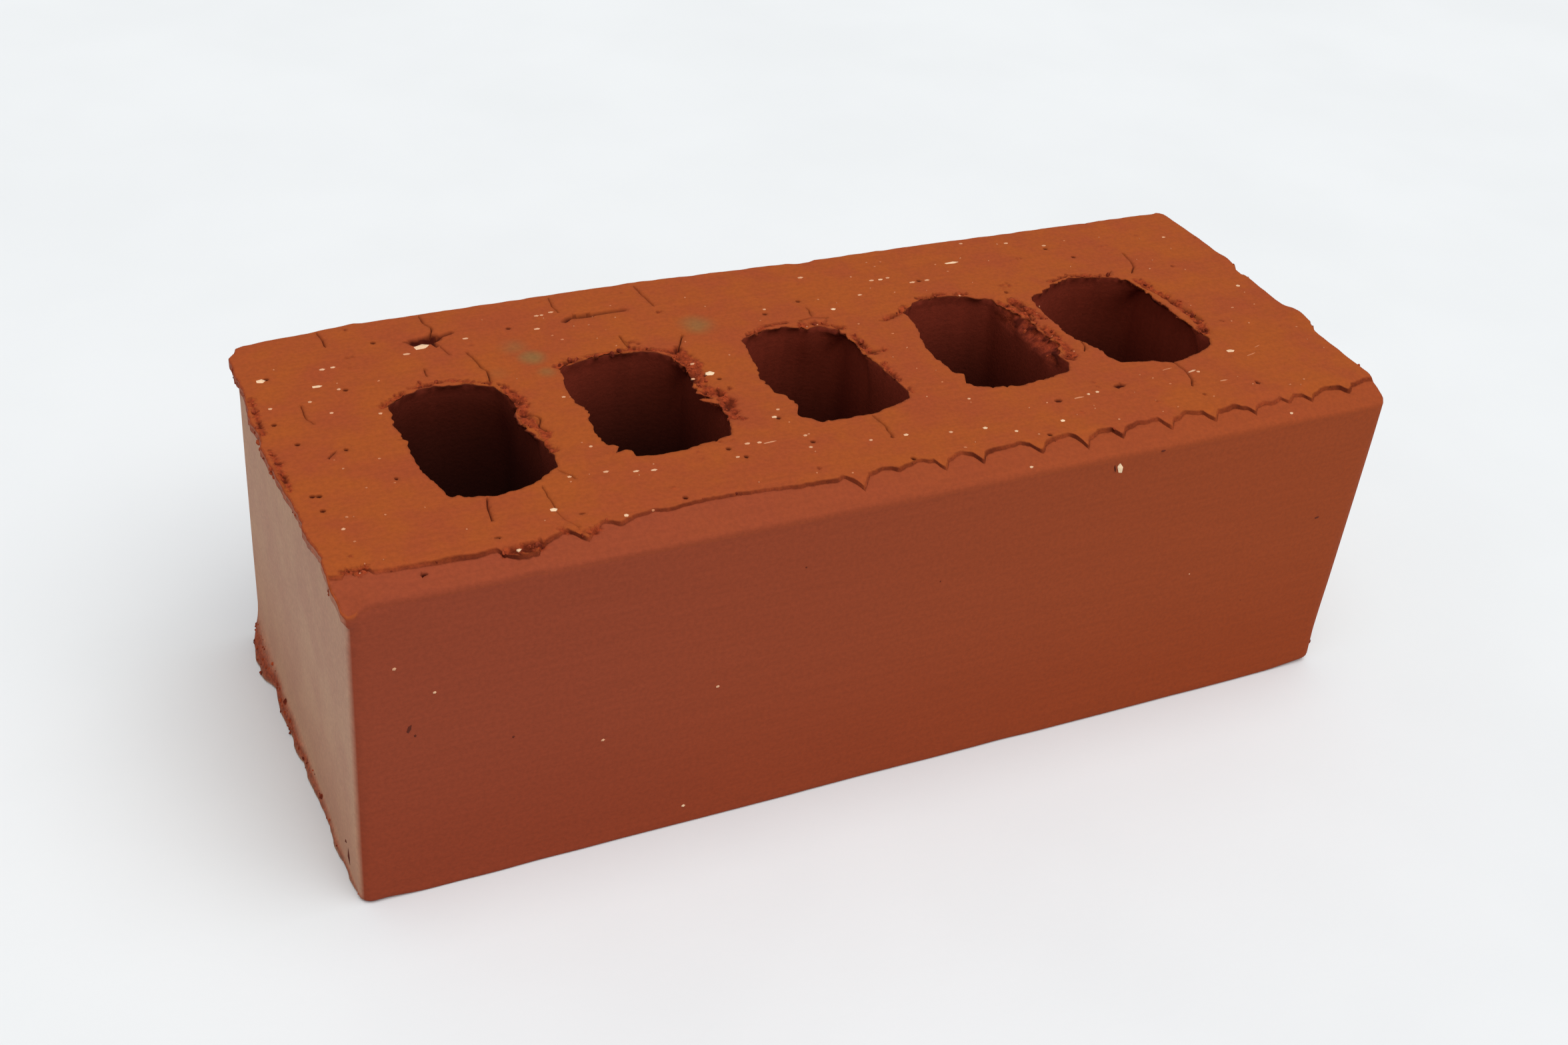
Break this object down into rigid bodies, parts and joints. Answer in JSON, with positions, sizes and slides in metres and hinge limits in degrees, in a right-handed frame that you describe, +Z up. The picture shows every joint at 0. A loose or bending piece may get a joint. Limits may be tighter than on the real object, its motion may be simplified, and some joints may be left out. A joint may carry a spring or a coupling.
{
  "type": "clay brick",
  "caption": "Extruded wire-cut clay face brick, fired terracotta, with a row of barrel-shaped cores through its beds and a smoothed shoulder along the upper front edge.",
  "frame": {"origin": "centre of the lower bed face's outline, on the surface that the brick lies on", "axes": "+X along the stretcher face, +Y from the smooth front stretcher face to the back one, +Z up through the cores"},
  "size_m": [0.23, 0.09, 0.076],
  "materials": {
    "fired_clay": "matte unglazed"
  },
  "bodies": {
    "root": {"brick": "fired_clay"}
  },
  "joints": []
}
